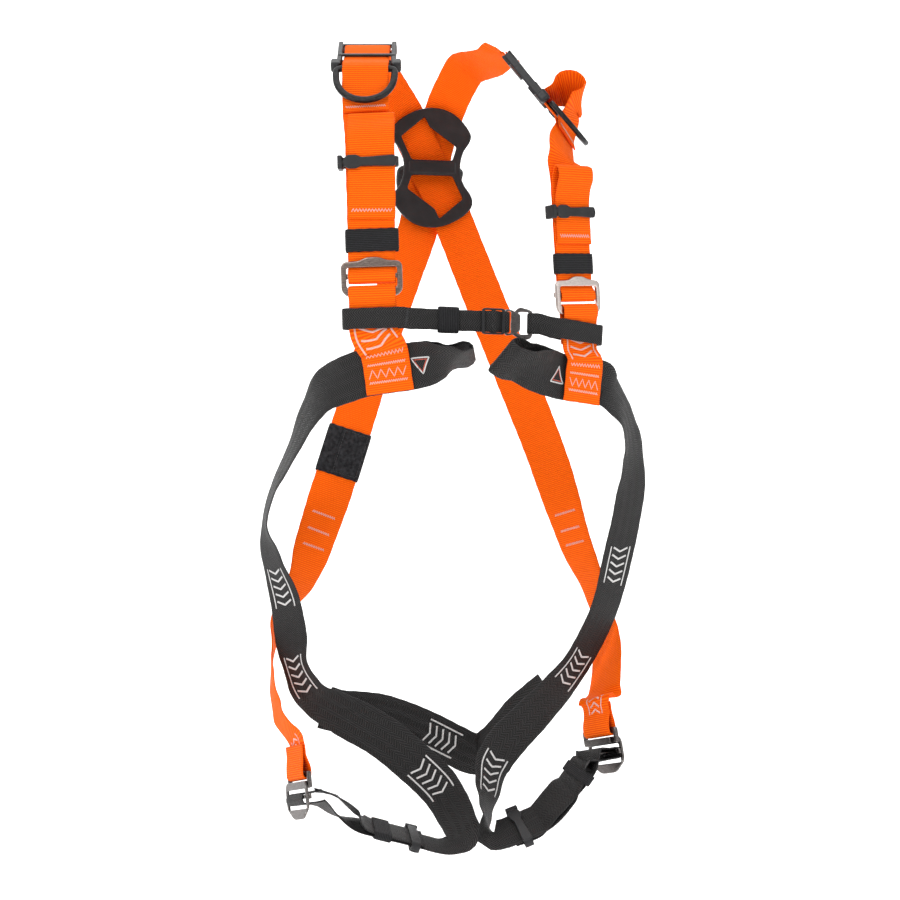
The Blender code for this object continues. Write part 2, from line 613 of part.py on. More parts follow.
def retainer(name, frame, crest, mat):
    """Plastic carrier of a shoulder ring: side arms along the webbing, ears by the ring, two cross bars."""
    body = finish(name, block(24.2, 29, -6.0, 1.6, 6, 53, 1.0), frame, mat)
    front = {
        "arm": block(-29, -24.2, -6.0, 1.6, 6, 53, 1.0),
        "front_bar": block(-28, 28, -6.7, -4.3, 24, 27.5, 0.6),
        "back_bar": block(-28, 28, 1.3, 3.7, 18.5, 28.5, 0.6),
        "ear_right": block(24.8, 34.5, -8, 2.6, 4.8, 15.8, 2.0),
        "ear_left": block(-34.5, -24.8, -8, 2.6, 4.8, 15.8, 2.0),
    }
    rear = {
        "rear_arm_right": block(24.5, 28.7, -5.8, 1.4, -3, 24, 1.0),
        "rear_arm_left": block(-28.7, -24.5, -5.8, 1.4, -3, 24, 1.0),
        "end_front": block(-28, 28, -6.8, -4.4, 13, 25, 0.8),
        "end_back": block(-28, 28, 1.2, 3.6, 13, 25, 0.8),
    }
    for seat, parts in ((frame, front), (crest, rear)):
        for key, data in parts.items():
            combine(body, cutter(name + "_" + key, data, seat), "UNION")
    return body


# ---------------------------------------------------------------- adjusters and keepers
def adjuster(name, frame, z, mat):
    """Steel frame: flared top bar over both layers, broad lower bar inside the lower strap."""
    seat = frame @ Matrix.Translation((0, 0, z))
    top = [(-26, 15.5), (-12, 16), (-5, 19.5), (7, 19.5), (14, 16.5), (26, 15.5)]
    foot = [(24, -ADJ_FOOT), (-24, -ADJ_FOOT)]
    outer = [(-ADJ_HALF_W, -12), (-ADJ_HALF_W, 12)] + top + [(ADJ_HALF_W, 12), (ADJ_HALF_W, -12)] + foot
    window = rounded(box_outline(-ADJ_OPEN, ADJ_OPEN, -9.3, 10), 2.5)
    return flat_part(name, [rounded(outer, 4), window], ADJ_T, ADJ_Y, seat, mat, 0.9)


def slide_bar(name, frame, y, z, radius, lug_back, mat):
    """Round bar with flat lugs that run behind the side legs of its frame."""
    seat = frame @ Matrix.Translation((0, y, z))
    body = finish(name, bar_mesh(23.7, radius), seat, mat)
    lug = (lug_back, lug_back + 2.8)
    combine(body, cutter(name + "_lug_right", block(22.9, 28, *lug, -2.6, 2.6, 0.5), seat), "UNION")
    combine(body, cutter(name + "_lug_left", block(-28, -22.9, *lug, -2.6, 2.6, 0.5), seat), "UNION")
    return body


def plastic_keeper(name, frame, front, back, mat, grip_side=-1):
    """Closed band with a tongue-shaped front plate and a grip block at one edge."""
    body = sleeve(name, 25.4, front, back, 9, 1.8, frame, mat, 1.2)
    low_edge = [(-24, -2.5), (-20, -6.5), (-11, -6.5), (-7, -4), (25, -5.5)]
    tongue = low_edge + [(27, 0)] + [(x, -h) for x, h in reversed(low_edge)]
    tongue = rounded([(-x * grip_side, h * grip_side) for x, h in tongue], 2)
    front_plate = frame @ Matrix.Translation((0, front - 2.0, 0))
    combine(body, cutter(name + "_tongue", flat_mesh([tongue], 2.4, 0.5), front_plate), "UNION")
    edge = 1.2 + grip_side * 28.2
    grip = block(edge - 2.4, edge + 2.4, front - 3.0, back + 1.6, -6.5, 6.5, 0.8)
    combine(body, cutter(name + "_grip", grip, frame), "UNION")
    return body


# ---------------------------------------------------------------- leg buckles
def leg_frame(name, frame, mat):
    """Female frame: the main strap's eye is on its upper bar, the male plate hooks over the lower one."""
    outer = rounded(box_outline(-BUCKLE_HALF, BUCKLE_HALF, -13.5, 3.2), 3)
    window = rounded(box_outline(-24, 24, -8.5, -2.6), 1)
    return flat_part(name, [outer, window], 4.4, 0, frame, mat, 1.0)


def leg_plate(name, frame, mat):
    """Male plate outside the frame: hooked lip above, window for the sliding bar, pointed grip below."""
    outer = rounded([(-25, -6.1), (25, -6.1), (28.5, -12), (28.5, -32), (12, -43), (-12, -43), (-28.5, -32),
                     (-28.5, -12)], 5)
    window = rounded(box_outline(-24.2, 24.2, -33, -13.8), 2)
    body = flat_part(name, [outer, window], 2.5, -3.9, frame, mat, 0.5)
    combine(body, cutter(name + "_lip", block(-21, 21, -4.6, 5.0, -8.1, -6.2, 0.3), frame), "UNION")
    combine(body, cutter(name + "_hook", block(-21, 21, 2.7, 5.0, -13, -6.2, 0.3), frame), "UNION")
    return body


# ---------------------------------------------------------------- chest buckle
def chest_glide(mat):
    """Three-bar slider with the chest webbing woven over its middle bar."""
    outer = rounded(box_outline(-36.5, -13.5, -12.5, 12.5), 3)
    left = rounded(box_outline(-33.5, -26.7, -10.6, 10.6), 0.8)
    right = rounded(box_outline(-23.3, -16.5, -10.6, 10.6), 0.8)
    return flat_part("chest_glide", [outer, left, right], 2.0, -4.6, CHEST_MID, mat, 0.5)


def chest_hook(mat):
    """Steel tongue: webbing bar at one end, lip through the ring at the other."""
    outer = rounded([(-12.5, -12.5), (-7, -12.5), (3, -8), (3, 8), (-7, 12.5), (-12.5, 12.5)], 2)
    window = rounded(box_outline(-10, -6.2, -10.6, 10.6), 0.8)
    body = flat_part("chest_hook", [outer, window], 2.4, 0, CHEST_MID, mat, 0.5)
    combine(body, cutter("chest_hook_lip", block(0.7, 2.8, -0.8, 7.2, -6.9, 6.9, 0.3), CHEST_MID), "UNION")
    return body


def chest_ring(mat):
    left = [(-5.2, -9), (-4.6, 6), (2, 14.5), (9, 14)]
    right = [(14, 12.5), (16.2, 10), (16.6, 0), (16.2, -11), (12, -15.5), (3, -14.5)]
    outer = smooth_outline(left + right, 3)
    window = rounded([(-1, -8), (-1, 7), (3, 10.8), (12.6, 10.8), (12.6, -10.8), (3, -10.8)], 2)
    return flat_part("chest_ring", [outer, window], 3.0, 3.1, CHEST_MID, mat, 1.0)


def chest_keeper(mat):
    seat = CHEST_MID @ Matrix.Translation((-68, 0.2, 0)) @ Matrix.Rotation(math.radians(90), 4, "Y")
    return sleeve("chest_keeper", 11.3, -2.5, 2.5, 20, 1.4, seat, mat)


# ---------------------------------------------------------------- label cover
def label_cover(mat):
    return sleeve("label_cover", 22.9, -1.5, 1.5, 54, 1.2, LABEL, mat)


def gate_pivot(pieces):
    """Empty on the chest gate's axis, which carries the pieces that swing with the strap's free half."""
    seat = seated(CHEST_MID @ Matrix.Translation((CHEST_SPLIT, -2, 0)))
    pivot = bpy.data.objects.new("chest_gate_pivot", None)
    pivot.matrix_world = seat
    HARNESS.objects.link(pivot)
    for piece in pieces:
        piece.parent = pivot
        piece.matrix_parent_inverse = seat.inverted()


def label_flap(mat):
    hinge = LABEL @ Matrix.Translation((23, -3.7, 0))
    return finish("label_flap", block(-31, 0, -0.7, 0.7, -26, 26, 0.4), hinge, mat)


# ---------------------------------------------------------------- the harness
def build():
    orange = material("orange_webbing", (1.0, 0.17, 0.01), 0.7)
    black = material("black_webbing", (0.02, 0.02, 0.022), 0.8)
    elastic = material("black_elastic", (0.012, 0.012, 0.013), 0.85)
    cover = material("cover_fabric", (0.015, 0.015, 0.017), 0.9)
    forged = material("black_forged", (0.03, 0.03, 0.034), 0.35, 0.8)
    plastic = material("black_plastic", (0.035, 0.035, 0.038), 0.5)
    steel = material("steel", (0.5, 0.47, 0.44), 0.3, 1.0)
    for run in (main_strap_right, main_strap_left, front_strap_right, front_strap_left,
                shoulder_loop_right, shoulder_loop_left):
        run(orange)
    for run in (hip_strap_right, hip_strap_left, seat_strap, chest_loop_right, chest_strap_left):
        run(black)
    dorsal_plate(plastic)
    dorsal_ring(forged)
    for side, shoulder, crest, front, z, tilt in (("right", SHOULDER_R, CREST_R, FRONT_R, ADJ_Z_R, -12),
                                                  ("left", SHOULDER_L, CREST_L, FRONT_L, ADJ_Z_L, 1)):
        shoulder_ring("shoulder_ring_" + side, shoulder, tilt, forged)
        retainer("ring_carrier_" + side, shoulder, crest, plastic)
        adjuster("adjuster_" + side, front, z, steel)
        slide_bar("adjuster_bar_" + side, front, SLIDE_Y, z + SLIDE_UP, SLIDE_R, -0.2, steel)
    plastic_keeper("shoulder_keeper_right", FRONT_R @ Matrix.Translation((0, 0, 15.7)), -6.6, 1.5, plastic)
    plastic_keeper("shoulder_keeper_left", FRONT_L @ Matrix.Translation((0, 0, -24)), -6.6, 1.5, plastic)
    seat_r, seat_l = FRONT_R @ Matrix.Translation((0, 0, -58)), FRONT_L @ Matrix.Translation((0, 0, -74))
    sleeve("shoulder_elastic_right", 24.2, -4.3, 1.5, 22, 1.3, seat_r, elastic, 0.8)
    sleeve("shoulder_elastic_left", 23.8, -4.3, 1.5, 20, 1.3, seat_l, elastic)
    for side, leg in (("right", LEG_R), ("left", LEG_L)):
        leg_frame("leg_frame_" + side, leg, steel)
        leg_plate("leg_plate_" + side, leg, steel)
        slide_bar("leg_bar_" + side, leg, -3.85, -21.5, 2.0, 1.5, steel)
    plastic_keeper("leg_keeper_right", KEEP_R @ Matrix.Translation((0, 0, -6)), -1.6, 4.1, plastic)
    plastic_keeper("leg_keeper_left", KEEP_L, -1.6, 4.1, plastic)
    sleeve("leg_elastic_right", 23.8, -1.6, 4.0, 18, 1.3, KEEP_R @ Matrix.Translation((0, 0, 28)), elastic)
    sleeve("leg_elastic_left", 24.8, -1.9, 4.3, 12, 1.3, LEG_BAND_L, elastic)
    gate_pivot([chest_strap_right(black), chest_glide(plastic), chest_hook(steel), chest_keeper(elastic)])
    chest_ring(steel)
    label_cover(cover)
    label_flap(cover)


clear_scene()
HARNESS = collection("safety_harness")
CUTTERS = collection("cutters", True)
build()
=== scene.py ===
# Looks of the safety harness: woven webbing with its sewing, elastic, napped cloth, moulded plastic,
# forged and stamped metal. Lengths are metres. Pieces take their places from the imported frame; woven
# signs and tacks are set along the straps by the heights and lengths named below.
import json
import math

import bmesh
import bpy
import numpy as np
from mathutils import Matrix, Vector


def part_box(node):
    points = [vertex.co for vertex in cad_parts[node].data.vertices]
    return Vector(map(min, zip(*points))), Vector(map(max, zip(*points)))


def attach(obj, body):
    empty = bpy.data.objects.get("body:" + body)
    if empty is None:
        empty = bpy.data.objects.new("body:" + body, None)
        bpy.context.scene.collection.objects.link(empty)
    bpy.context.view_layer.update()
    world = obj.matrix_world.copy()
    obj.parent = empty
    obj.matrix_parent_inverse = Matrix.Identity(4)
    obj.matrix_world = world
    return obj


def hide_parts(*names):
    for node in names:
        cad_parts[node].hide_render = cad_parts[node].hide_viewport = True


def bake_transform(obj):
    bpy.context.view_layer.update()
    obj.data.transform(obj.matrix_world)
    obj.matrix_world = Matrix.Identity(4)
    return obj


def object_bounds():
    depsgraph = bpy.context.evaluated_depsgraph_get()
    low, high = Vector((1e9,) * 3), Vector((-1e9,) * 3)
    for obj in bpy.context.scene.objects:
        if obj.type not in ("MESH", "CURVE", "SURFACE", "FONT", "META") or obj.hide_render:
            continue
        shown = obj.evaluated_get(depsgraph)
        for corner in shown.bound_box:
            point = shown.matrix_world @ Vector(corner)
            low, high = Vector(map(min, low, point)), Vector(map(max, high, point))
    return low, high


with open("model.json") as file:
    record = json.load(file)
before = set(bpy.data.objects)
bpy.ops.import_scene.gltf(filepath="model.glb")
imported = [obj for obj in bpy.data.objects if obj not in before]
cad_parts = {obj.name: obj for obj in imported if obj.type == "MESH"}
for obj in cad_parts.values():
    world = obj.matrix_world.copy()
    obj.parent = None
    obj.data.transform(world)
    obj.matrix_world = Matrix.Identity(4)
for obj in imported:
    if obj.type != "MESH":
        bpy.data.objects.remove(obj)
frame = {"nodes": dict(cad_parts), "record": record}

CAD_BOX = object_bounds()
MM = 0.001

# Webbing mesh
RING_STEP = 3.0 * MM
COLUMNS = 15
EDGE_SHARE = 0.42
EDGE_WAVE = 0.22 * MM
THREAD_R = 0.42 * MM
THREAD_LIFT = 0.05 * MM

# Rows of tacks on the back webbing at the hips, measured down from the label cover's middle
HIP_TACK_DROPS = (0.066, 0.084, 0.1)

# Rows that sew the front straps to the hip straps: distance from the end, height and pitch in mm
SEAM_ROWS = ((11, 2.2, 1.1), (19, 8.5, 3.9), (28, 2.2, 1.1), (37, 3.2, 1.7))
LOOP_END_DROP = 0.027

# Woven signs; the hip straps' ones by height and the share of the strap's length they lie within
HIP_MARKS = {"right": ((-0.458, 0.2, 0.6), (-0.548, 0.2, 0.6), (-0.662, 0.4, 0.74)),
             "left": ((-0.44, 0.2, 0.6), (-0.55, 0.2, 0.6), (-0.655, 0.4, 0.75))}
SIGN_LONG, SIGN_WIDE = 42 * MM, 28 * MM
SEAT_MARK = (0.004, -0.034, -0.633)
LOOP_SIGN_AT = {"right": 0.16, "left": 0.2}

# Short straight length of webbing between the chest loop and the chest strap
FLEX_LAP = 1.6 * MM
FLEX_ROWS = 15
FLEX_SPARE = 0.1 * MM

# Hardware meshes
VOXEL = 0.42 * MM
STEEL_VOXEL = 0.34 * MM
SMOOTH_TURNS = 5

# Light
SKY_LOW, SKY_HIGH = 0.2, 0.9
LIT_POINT = (0.0, -0.1, -0.3)
LAMPS = (("key", (-1.5, -2.2, 1.2), LIT_POINT, (1.2, 1.2), 32),
         ("fill", (1.9, -1.8, 0.3), LIT_POINT, (1.8, 1.8), 13),
         ("top", (0.0, 0.2, 1.9), LIT_POINT, (1.8, 1.4), 14),
         ("backdrop", (0.0, 0.6, 1.6), (0.0, 2.4, -0.2), (3.0, 1.0), 30))

# Floor sweep
FLOOR_DROP = 0.06
SWEEP_FRONT, SWEEP_BEND = -3.5, 1.4
SWEEP_TALL = 4.5
SWEEP_HALF = 5.0

# Viewpoint
CAMERA_AT = (-0.2605, -1.5906, -0.316)
CAMERA_TURN = -10.0
CAMERA_LENS = 57.68


# ---------------------------------------------------------------- material building blocks
class Look:
    """A Principled material with short ways to add and join nodes."""

    def __init__(self, name):
        self.made = bpy.data.materials.new(name)
        self.made.use_nodes = True
        self.tree = self.made.node_tree
        self.shader = self.tree.nodes["Principled BSDF"]

    def add(self, kind, **values):
        made = self.tree.nodes.new(kind)
        for key, value in values.items():
            setattr(made, key, value)
        return made

    def join(self, source, target):
        self.tree.links.new(source, target)

    def feed(self, target, value):
        if hasattr(value, "is_output"):
            self.join(value, target)
        else:
            target.default_value = value

    def math(self, operation, a, b=0.0):
        made = self.add("ShaderNodeMath", operation=operation)
        self.feed(made.inputs[0], a)
        self.feed(made.inputs[1], b)
        return made.outputs[0]

    def wave(self, length, period):
        """Sine from 0 to 1 along a length."""
        turn = self.math("MULTIPLY", length, 2 * math.pi / period)
        return self.math("ADD", self.math("MULTIPLY", self.math("SINE", turn), 0.5), 0.5)

    def noise(self, scale, detail=3.0, stretch=None):
        made = self.add("ShaderNodeTexNoise")
        made.inputs["Scale"].default_value = scale
        made.inputs["Detail"].default_value = detail
        place = self.add("ShaderNodeTexCoord").outputs["Object"]
        if stretch:
            mapped = self.add("ShaderNodeMapping")
            mapped.inputs["Scale"].default_value = stretch
            self.join(place, mapped.inputs["Vector"])
            place = mapped.outputs["Vector"]
        self.join(place, made.inputs["Vector"])
        return made.outputs["Fac"]

    def mix(self, share, a, b):
        made = self.add("ShaderNodeMix", data_type="RGBA")
        self.feed(made.inputs["Factor"], share)
        for socket, value in ((made.inputs[6], a), (made.inputs[7], b)):
            self.feed(socket, (*value, 1.0) if isinstance(value, tuple) else value)
        return made.outputs[2]

    def ramp(self, value, low, high):
        made = self.add("ShaderNodeMapRange")
        made.inputs["From Min"].default_value = low
        made.inputs["From Max"].default_value = high
        self.feed(made.inputs["Value"], value)
        return made.outputs["Result"]

    def finish(self, colour, roughness, height, depth, metallic=0.0, sheen=0.0, gloss=0.5):
        """Colour, roughness and bump into the shader; depth is the relief's height in metres."""
        self.feed(self.shader.inputs["Base Color"], colour)
        self.feed(self.shader.inputs["Roughness"], roughness)
        self.shader.inputs["Metallic"].default_value = metallic
        self.shader.inputs["Sheen Weight"].default_value = sheen
        self.shader.inputs["Specular IOR Level"].default_value = gloss
        bump = self.add("ShaderNodeBump")
        bump.inputs["Distance"].default_value = depth
        bump.inputs["Strength"].default_value = 1.0
        self.feed(bump.inputs["Height"], height)
        self.join(bump.outputs["Normal"], self.shader.inputs["Normal"])
        return self.made


def run_coordinates(look):
    """Across and along a woven piece, in metres."""
    split = look.add("ShaderNodeSeparateXYZ")
    look.join(look.add("ShaderNodeUVMap", uv_map="run").outputs["UV"], split.inputs[0])
    return split.outputs["X"], split.outputs["Y"]


def orange_webbing():
    """Plain weave with fine ribbing across the webbing; its colour is painted darker in the grooves and
    lighter on the crests, painted shade and painted highlight.
    """
    look = Look("orange_webbing_look")
    across, along = run_coordinates(look)
    warp = look.wave(across, 1.5 * MM)
    shift = look.math("MULTIPLY", warp, 0.35 * MM)
    ribs_with_painted_light = look.wave(look.math("ADD", along, shift), 2.1 * MM)
    fibre = look.noise(1500.0, 2.0)
    height = look.math("ADD", look.math("MULTIPLY", ribs_with_painted_light, 0.75), look.math("MULTIPLY", warp, 0.2))
    height = look.math("ADD", height, look.math("MULTIPLY", fibre, 0.3))
    # Painted shade and highlight: the colour follows the rib relief, darker in the grooves and lighter on
    # the crests.
    colour = look.mix(look.ramp(ribs_with_painted_light, 0.0, 0.9), (0.8, 0.06, 0.0005), (1.0, 0.165, 0.001))
    blotch = look.ramp(look.noise(26.0, 4.0), 0.35, 0.75)
    colour = look.mix(look.math("MULTIPLY", blotch, 0.16), colour, (0.93, 0.13, 0.006))
    edge = look.ramp(look.math("ABSOLUTE", across), 20.4 * MM, 22.6 * MM)
    colour = look.mix(look.math("MULTIPLY", edge, 0.35), colour, (0.72, 0.075, 0.003))
    return look.finish(colour, look.ramp(fibre, -1.2, 1.1), height, 0.36 * MM, gloss=0.1)


def black_webbing():
    """Herringbone weave: diagonals that turn back at each column, with colour painted lighter on the raised
    diagonals as painted highlights.
    """
    look = Look("black_webbing_look")
    across, along = run_coordinates(look)
    column = look.math("PINGPONG", look.math("ADD", across, 0.0225), 5.6 * MM)
    twill_with_painted_highlights = look.wave(look.math("ADD", along, look.math("MULTIPLY", column, 0.9)), 2.3 * MM)
    fibre = look.noise(1300.0, 2.0)
    height = look.math("ADD", look.math("MULTIPLY", twill_with_painted_highlights, 0.8), look.math("MULTIPLY", fibre, 0.35))
    # Painted highlight: the colour follows the diagonal relief, lighter on its raised lines and darker
    # between them.
    colour = look.mix(look.ramp(twill_with_painted_highlights, 0.2, 1.0), (0.001, 0.001, 0.001), (0.042, 0.0405, 0.0405))
    fade = look.ramp(look.noise(30.0, 4.0), 0.3, 0.8)
    colour = look.mix(look.math("MULTIPLY", fade, 0.25), colour, (0.012, 0.0115, 0.0115))
    edge = look.ramp(look.math("ABSOLUTE", across), 20.6 * MM, 22.5 * MM)
    colour = look.mix(look.math("MULTIPLY", edge, 0.5), colour, (0.03, 0.029, 0.03))
    return look.finish(colour, look.ramp(fibre, -0.7, 1.4), height, 0.5 * MM, sheen=0.0, gloss=0.22)


def elastic():
    """Ribbed elastic: raised lines along the band with a fine weave between them; the colour is painted
    lighter on their tops and darker between them, painted highlight and shade.
    """
    look = Look("elastic_look")
    across, along = run_coordinates(look)
    cords_with_painted_shade = look.wave(across, 1.7 * MM)
    weave = look.wave(along, 1.0 * MM)
    height = look.math("ADD", cords_with_painted_shade, look.math("MULTIPLY", weave, 0.3))
    # Painted shade and highlight: darker between the raised lines, lighter on their tops.
    colour = look.mix(cords_with_painted_shade, (0.004, 0.004, 0.0045), (0.022, 0.022, 0.024))
    fuzz = look.noise(900.0, 2.0)
    lint = look.math("MULTIPLY", look.ramp(fuzz, 0.5, 0.8), 0.4)
    colour = look.mix(lint, colour, (0.05, 0.05, 0.052))
    return look.finish(colour, look.ramp(fuzz, -1.4, 1.0), height, 0.28 * MM, sheen=0.02, gloss=0.2)


def napped_cloth():
    """Looped pile of hook-and-loop cloth."""
    look = Look("cover_fabric_look")
    pile = look.noise(900.0, 5.0)
    tufts = look.noise(260.0, 4.0)
    height = look.math("ADD", pile, look.math("MULTIPLY", tufts, 0.8))
    colour = look.mix(look.ramp(tufts, 0.3, 0.75), (0.006, 0.006, 0.007), (0.034, 0.034, 0.037))
    lint = look.ramp(look.noise(1700.0, 1.0), 0.68, 0.8)
    colour = look.mix(look.math("MULTIPLY", lint, 0.35), colour, (0.16, 0.16, 0.17))
    return look.finish(colour, 0.93, height, 0.5 * MM, sheen=0.06, gloss=0.15)


def thread(name, base, shade):
    """Twisted sewing thread."""
    look = Look(name)
    strands = look.noise(2400.0, 2.0)
    colour = look.mix(look.ramp(strands, 0.3, 0.7), shade, base)
    return look.finish(colour, look.ramp(strands, -1.2, 1.1), strands, 0.12 * MM, sheen=0.1, gloss=0.3)


def worn_edges(look):
    """1 on convex edges, broken up by a noise."""
    point = look.add("ShaderNodeNewGeometry").outputs["Pointiness"]
    edge = look.ramp(point, 0.515, 0.58)
    return look.math("MULTIPLY", edge, look.ramp(look.noise(420.0, 4.0), 0.38, 0.66))


def moulded_plastic():
    """Black glass-filled plastic with a fine grain and rubbed edges."""
    look = Look("black_plastic_look")
    grain = look.noise(1100.0, 3.0)
    cloud = look.noise(60.0, 3.0)
    colour = look.mix(look.ramp(cloud, 0.3, 0.7), (0.008, 0.008, 0.009), (0.016, 0.016, 0.0175))
    colour = look.mix(look.math("MULTIPLY", worn_edges(look), 0.6), colour, (0.06, 0.06, 0.063))
    return look.finish(colour, look.ramp(grain, -0.3, 1.5), grain, 0.09 * MM, gloss=0.35)


def forged_metal():
    """Black finish on forged steel, with bright rubs on its edges."""
    look = Look("black_forged_look")
    scale = look.noise(300.0, 5.0)
    worn = look.math("MULTIPLY", worn_edges(look), 0.55)
    colour = look.mix(look.ramp(scale, 0.35, 0.7), (0.01, 0.01, 0.011), (0.028, 0.027, 0.028))
    colour = look.mix(worn, colour, (0.42, 0.4, 0.38))
    return look.finish(colour, look.ramp(scale, -0.35, 1.6), scale, 0.06 * MM, metallic=0.75)


def satin_steel(name, dark, light):
    """Stamped and tumbled steel: fine brushing, small pits and brighter edges."""
    look = Look(name)
    brushed = look.noise(240.0, 4.0, stretch=(1.0, 1.0, 14.0))
    pits = look.noise(700.0, 4.0)
    colour = look.mix(look.ramp(brushed, 0.3, 0.7), dark, light)
    colour = look.mix(worn_edges(look), colour, (0.86, 0.83, 0.79))
    rough = look.math("ADD", look.math("MULTIPLY", pits, 0.22), 0.2)
    height = look.math("ADD", brushed, look.math("MULTIPLY", pits, 0.5))
    return look.finish(colour, rough, height, 0.05 * MM, metallic=1.0)


ORANGE = orange_webbing()
BLACK = black_webbing()
ELASTIC = elastic()
CLOTH = napped_cloth()
PLASTIC = moulded_plastic()
FORGED = forged_metal()
STEEL = satin_steel("steel_look", (0.05, 0.045, 0.043), (0.17, 0.155, 0.15))
# The two adjusters and their bars are one steel: the right pair gets a darker, browner copy as painted
# shade, and the left pair a paler copy as painted light.
STEEL_SHADED_COPY = satin_steel("steel_painted_shade_look", (0.14, 0.105, 0.09), (0.3, 0.24, 0.21))
STEEL_LIT_COPY = satin_steel("steel_painted_light_look", (0.46, 0.4, 0.37), (0.7, 0.63, 0.59))
PALE_THREAD = thread("pale_thread_look", (0.86, 0.55, 0.5), (0.6, 0.3, 0.26))
RED_THREAD = thread("red_thread_look", (0.62, 0.12, 0.08), (0.36, 0.05, 0.03))
WHITE_THREAD = thread("white_thread_look", (0.74, 0.73, 0.72), (0.44, 0.43, 0.43))
BLACK_THREAD = thread("black_thread_look", (0.05, 0.05, 0.053), (0.015, 0.015, 0.016))


# ---------------------------------------------------------------- reading the frame
def centre(node):
    low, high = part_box(node)
    return (low + high) / 2


def welded(node):
    mesh = bmesh.new()
    mesh.from_mesh(frame["nodes"][node].data)
    bmesh.ops.remove_doubles(mesh, verts=mesh.verts, dist=1e-6)
    mesh.verts.ensure_lookup_table()
    return mesh


def layers_from(start, links):
    """Vertices in steps away from a start set, or None where a step isn't a section of four."""
    seen, layer, found = set(start), list(start), []
    while layer:
        if len(layer) != 4:
            return None
        found.append(layer)
        layer = sorted({n for v in layer for n in links[v]} - seen)
        seen.update(layer)
    return found if len(seen) == len(links) else None


def end_cap(mesh, links, near):
    """The four vertices of the strap's end that lies nearer to a point."""
    tries = []
    for edge in mesh.edges:
        if len(edge.link_faces) == 2:
            corners = {v.index for face in edge.link_faces for v in face.verts}
            middle = sum((mesh.verts[i].co for i in corners), Vector()) / 4
            tries.append(((middle - near).length, sorted(corners)))
    for _, corners in sorted(tries):
        found = layers_from(corners, links)
        if found:
            return found
    raise ValueError("no strap end found")


def in_order(section, before, points):
    """Corners of a section, each matched with the corner before it."""
    best = None
    for shift in range(4):
        for step in (1, -1):
            order = [section[(shift + step * k) % 4] for k in range(4)]
            cost = sum(np.linalg.norm(points[a] - points[b]) for a, b in zip(order, before))
            if best is None or cost < best[0]:
                best = (cost, order)
    return best[1]


def ring_order(section, points):
    """A section's corners in order round it, the first two across the webbing."""
    first = section[0]
    rest = sorted(section[1:], key=lambda v: np.linalg.norm(points[v] - points[first]))
    thin, wide, far = rest
    return [first, wide, far, thin]


class Run:
    """Centre line of a strap with its directions across and outwards, by distance along it."""

    def __init__(self, node, near):
        mesh = welded(node)
        links = {v.index: {e.other_vert(v).index for e in v.link_edges} for v in mesh.verts}
        points = np.array([v.co for v in mesh.verts])
        found = end_cap(mesh, links, near)
        mesh.free()
        ordered = [ring_order(found[0], points)]
        for section in found[1:]:
            ring = ring_order(section, points)
            ordered.append(in_order(ring, ordered[-1], points))
        corners = points[np.array(ordered)]
        self.name = node
        self.width = float(np.median(np.linalg.norm(corners[:, 1] - corners[:, 0], axis=1)))
        self.thick = float(np.median(np.linalg.norm(corners[:, 3] - corners[:, 0], axis=1)))
        self.line = corners.mean(axis=1)
        side = corners[:, 1] - corners[:, 0] + corners[:, 2] - corners[:, 3]
        self.side = side / np.linalg.norm(side, axis=1)[:, None]
        steps = np.linalg.norm(np.diff(self.line, axis=0), axis=1)
        self.reach = np.concatenate([[0.0], np.cumsum(steps)])
        self.length = float(self.reach[-1])

    def smooth(self, values, s):
        """Catmull-Rom value at a distance along the strap."""
        i = int(np.clip(np.searchsorted(self.reach, s) - 1, 0, len(self.reach) - 2))
        span = self.reach[i + 1] - self.reach[i]
        t = (s - self.reach[i]) / max(span, 1e-9)
        q, r = values[i], values[i + 1]
        before = (self.reach[i + 1] - self.reach[max(i - 1, 0)]) or 1.0
        after = (self.reach[min(i + 2, len(self.reach) - 1)] - self.reach[i]) or 1.0
        m0 = (r - values[max(i - 1, 0)]) / before * span
        m1 = (values[min(i + 2, len(values) - 1)] - q) / after * span
        square, cube = t * t, t * t * t
        return (2 * cube - 3 * square + 1) * q + (cube - 2 * square + t) * m0 \
            + (3 * square - 2 * cube) * r + (cube - square) * m1

    def at(self, s):
        """Point, direction across, direction outwards and direction along."""
        s = min(max(s, 0.0), self.length)
        ahead = self.smooth(self.line, min(s + 0.4 * MM, self.length))
        behind = self.smooth(self.line, max(s - 0.4 * MM, 0.0))
        along = (ahead - behind) / np.linalg.norm(ahead - behind)
        side = self.smooth(self.side, s)
        side = side - along * (side @ along)
        side /= np.linalg.norm(side)
        return self.smooth(self.line, s), side, np.cross(along, side), along

    def outer(self, s, x, face, lift=0.0):
        """Point on a face of the webbing; x is across it, face +1 or -1."""
        here, side, out, _ = self.at(s)
        return here + side * x + out * face * (self.thick / 2 + lift)

    def nearest(self, point, low=0.0, high=1.0):
        """Distance along the strap nearest a point, between two shares of its length."""
        tries = np.linspace(low * self.length, high * self.length, 400)
        gaps = [np.linalg.norm(self.smooth(self.line, s) - np.array(point)) for s in tries]
        return float(tries[int(np.argmin(gaps))])

    def facing(self, s, point):
        """The face, +1 or -1, that looks towards a point."""
        here, _, out, _ = self.at(s)
        return 1 if out @ (np.array(point) - here) > 0 else -1


# ---------------------------------------------------------------- meshes
def new_object(name, mesh, look):
    data = bpy.data.meshes.new(name)
    mesh.to_mesh(data)
    mesh.free()
    data.materials.append(look)
    for face in data.polygons:
        face.use_smooth = True
    made = bpy.data.objects.new(name, data)
    bpy.context.scene.collection.objects.link(made)
    return made


